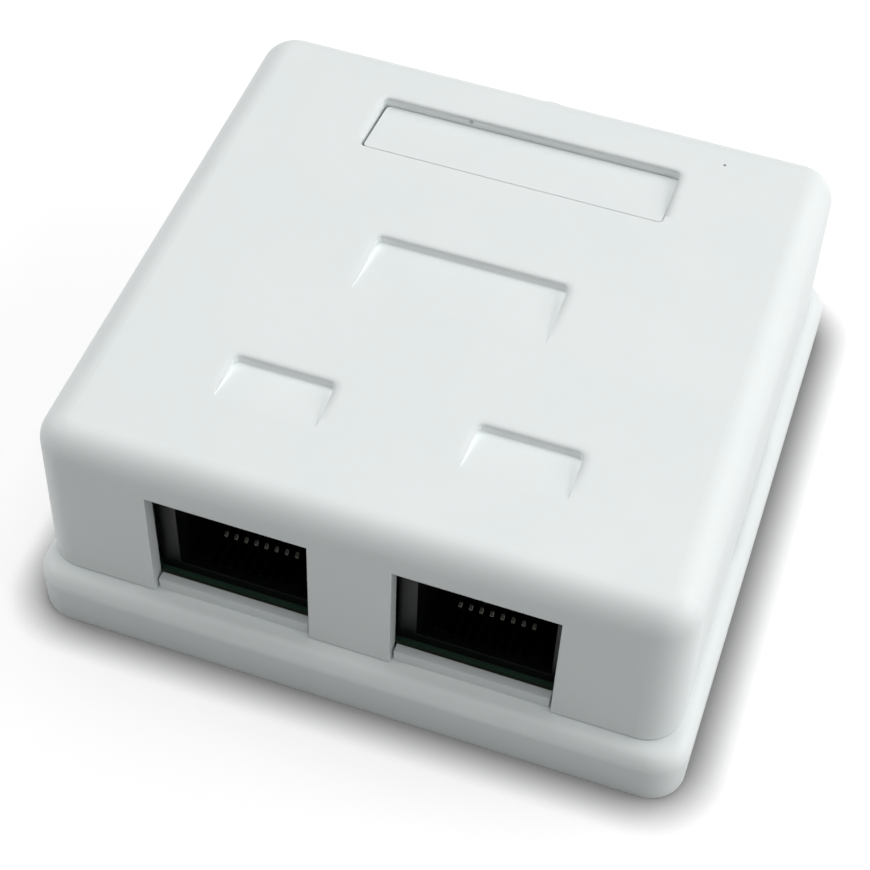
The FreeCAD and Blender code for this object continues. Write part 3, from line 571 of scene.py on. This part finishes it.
screw_low, screw_high = in_mm(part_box("board_screws"))
screw_centres = [(0, y) for y in BOARD_SCREW_Y]
threaded("board_screws", "base", screw_centres, BOARD_SCREW_R, screw_low[2], board_high[2])
screw_low, screw_high = in_mm(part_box("cover_screw"))
screw_centres = [(0, (screw_low[1] + screw_high[1]) / 2)]
seat = screw_high[2] - COVER_SCREW_HEAD_H
threaded("cover_screw", "cover_screw", screw_centres, COVER_SCREW_R, screw_low[2], seat)


# Cover: one shell in the same white ABS, with two small specks and the pins' marks on the inside
# of its roof. The edges of its recesses look softer than its other edges, and their foot is paler
# with painted light from an ambient-occlusion node.
SPECK = (0.12, 0.12, 0.12)
SOFT_SPECK = (0.42, 0.43, 0.42)
COVER_SPECK = (18.8, 25.3, 24.1)
WALL_SPECK = (-6.8, 22.8, 23.7)
SPECK_R = 0.2
WALL_SPECK_R = 1.5 * SPECK_R
SPECK_STRENGTH = 0.85
ROOF_UNDERSIDE = 22.1
COVER_TOP = 24.1
RECESS_EDGE = 1.4
RAMP_TOP = 1.0  # strip at the front of each recess, where its ramp leaves the top face
PAINTED_LIGHT_REACH = 1.5
PAINTED_LIGHT_AO_RANGE = (0.45, 0.98)
PAINTED_FOOT_LIGHT = (0.96, 1.0, 1.0)
NEAR = 0.03
RECESSES = (  # left, right, front and rear edge of each
    (-16.95, -7.15, -19.9, -14.5),
    (6.15, 15.95, -19.9, -14.5),
    (-10.0, 9.0, -3.4, 4.2),
    (-16.0, 15.0, 15.3, 22.8),
)
ROOF_PINS = (
    (-24.0, -22.0),
    (24.0, -22.0),
    (-24.0, 2.0),
    (24.0, 2.0),
    (-0.5, 9.5),
    (-24.0, 25.0),
    (24.0, 25.0),
)


def speckled(finish, colour, point, radius, speck):
    """The colour with one small speck on it."""
    near = 1 - finish.spread(finish.distance(point), 0.5 * radius, radius)
    return finish.mix(SPECK_STRENGTH * near, colour, speck)


cover_plastic, cover_colour, cover_grain = white_plastic("white_cover_plastic")
cover_colour = speckled(cover_plastic, cover_colour, COVER_SPECK, SPECK_R, SPECK)
cover_colour = speckled(cover_plastic, cover_colour, WALL_SPECK, WALL_SPECK_R, SOFT_SPECK)
roof_marks = PIN_DEPTH * pin_marks(cover_plastic, ROOF_PINS, ROOF_UNDERSIDE)
x, y, z = cover_plastic.x, cover_plastic.y, cover_plastic.z
# Painted light: where ambient occlusion finds a hollow at a recess's foot, the colour is made paler.
reach = {"Distance": PAINTED_LIGHT_REACH * MM}
painted_light_ao = cover_plastic.add("ShaderNodeAmbientOcclusion", {"samples": 12, "only_local": True}, reach)
painted_foot_light = 1 - cover_plastic.spread(Signal(cover_plastic, painted_light_ao.outputs["AO"]), *PAINTED_LIGHT_AO_RANGE)
painted_foot_light = painted_foot_light * cover_plastic.within(z, COVER_TOP - RECESS_EDGE, COVER_TOP - NEAR)
cover_plastic.colour(cover_plastic.mix(painted_foot_light, cover_colour, PAINTED_FOOT_LIGHT))
at_recess = 0
for x0, x1, y0, y1 in RECESSES:
    around = cover_plastic.within(x, x0 - RECESS_EDGE, x1 + RECESS_EDGE)
    around = around * cover_plastic.within(y, y0 + RAMP_TOP, y1 + RECESS_EDGE)
    floor = cover_plastic.within(x, x0 + NEAR, x1 - NEAR) * (y < y1 - NEAR) * (z < COVER_TOP - NEAR)
    at_recess = at_recess + around * (1 - floor)
at_recess = at_recess * (z > COVER_TOP - RECESS_EDGE)
edges = {"Factor": at_recess, 4: cover_plastic.rounded(SHELL_EDGE), 5: cover_plastic.rounded(RECESS_EDGE)}
edges = cover_plastic.add("ShaderNodeMix", {"data_type": "VECTOR"}, edges).outputs[1]
cover_plastic.relief(cover_grain - roof_marks, GRAIN_DEPTH, edges)
cover_plastic.material.cycles.use_bump_map_correction = False
dress(nodes["cover"], cover_plastic)


# Label plate: a separate strip of the same white ABS that clips into the long recess and
# ramps down to the recess's far wall, with a slit for a fingernail at its left end.
PLATE_EDGE = 0.06

plate_plastic, plate_colour, plate_grain = white_plastic("white_plate_plastic")
plate_plastic.colour(plate_colour)
plate_plastic.relief(plate_grain, GRAIN_DEPTH, plate_plastic.rounded(PLATE_EDGE))
dress(nodes["label_plate"], plate_plastic)


# Table and light: a plain white table under six large soft lamps, most of them above and to
# the right, in a room that is dim but looks white. Near what stands on it, the table carries a
# painted shadow from an ambient-occlusion node. The table's size, and the place and size of each
# lamp, are in metres.
TABLE_SIZE = 3.0
TABLE_GREY = (0.46, 0.47, 0.47)
TABLE_WHITE = (0.50, 0.50, 0.50)
CONTACT_SHADE = 4.3
SHADE_POWER = 2.3
GLOW = (0.57, 0.57, 0.57)
DARK = (0.0, 0.0, 0.0)

half = TABLE_SIZE / 2
table_mesh = bpy.data.meshes.new("table")
table_corners = [(-half, -half, 0), (half, -half, 0), (half, half, 0), (-half, half, 0)]
table_mesh.from_pydata(table_corners, [], [(0, 1, 2, 3)])
table = bpy.data.objects.new("table", table_mesh)
scene.collection.objects.link(table)

table_top = Finish("table_white", TABLE_GREY, {"Roughness": 0.8, "Emission Strength": 1.0})
rays = table_top.add("ShaderNodeLightPath", {}, {})
seen = Signal(table_top, rays.outputs["Is Camera Ray"])
seen = seen.calc("MAXIMUM", seen, Signal(table_top, rays.outputs["Is Glossy Ray"]))
seen = seen.calc("MAXIMUM", seen, Signal(table_top, rays.outputs["Is Transmission Ray"]))
# Painted shadow: near the object, ambient occlusion darkens the table's seen colour and glow.
near = table_top.add("ShaderNodeAmbientOcclusion", {"samples": 16}, {"Distance": CONTACT_SHADE * MM})
painted_shadow_fade = Signal(table_top, near.outputs["AO"])
painted_shadow_fade = painted_shadow_fade.calc("POWER", painted_shadow_fade, SHADE_POWER)
pale = table_top.mix(painted_shadow_fade, DARK, TABLE_WHITE)
table_top.colour(table_top.mix(seen, TABLE_GREY, pale))
glow = table_top.mix(painted_shadow_fade, DARK, GLOW)
table_top.feed(table_top.shader.inputs["Emission Color"], table_top.mix(seen, DARK, glow))
dress(table, table_top)

ROOM_LIGHT = (1.0, 1.0, 1.0)
ROOM_STRENGTH = 0.1
LAMPS = (  # name, place, size and power in watts
    ("lamp_top", (0.0, 0.05, 0.95), 0.9, 3.9),
    ("lamp_rear", (0.0, 0.55, 0.80), 0.9, 1.6),
    ("lamp_right", (0.85, 0.10, 0.45), 0.7, 3.9),
    ("lamp_left", (-0.85, 0.0, 0.45), 0.7, 2.8),
    ("lamp_rear_right", (0.60, 0.60, 0.45), 0.7, 2.4),
    ("lamp_front_right", (0.60, -0.60, 0.40), 0.6, 0.80),
)
world = bpy.data.worlds.new("room")
scene.world = world
world.use_nodes = True
background = world.node_tree.nodes["Background"]
background.inputs["Color"].default_value = (*ROOM_LIGHT, 1)
room_rays = world.node_tree.nodes.new("ShaderNodeLightPath")
room_strength = world.node_tree.nodes.new("ShaderNodeMapRange")
room_strength.inputs["To Min"].default_value = ROOM_STRENGTH
room_strength.inputs["To Max"].default_value = 1.0
world.node_tree.links.new(room_rays.outputs["Is Camera Ray"], room_strength.inputs["Value"])
world.node_tree.links.new(room_strength.outputs[0], background.inputs["Strength"])
for name, spot, size, power in LAMPS:
    light = bpy.data.lights.new(name, "AREA")
    light.shape = "SQUARE"
    light.size = size
    light.energy = power
    lamp = bpy.data.objects.new(name, light)
    lamp.location = spot
    way = -np.array(spot) / np.linalg.norm(spot)
    lamp.rotation_euler = (math.acos(-way[2]), 0, math.atan2(way[1], way[0]) - math.pi / 2)
    scene.collection.objects.link(lamp)

scene.view_settings.view_transform = "Standard"
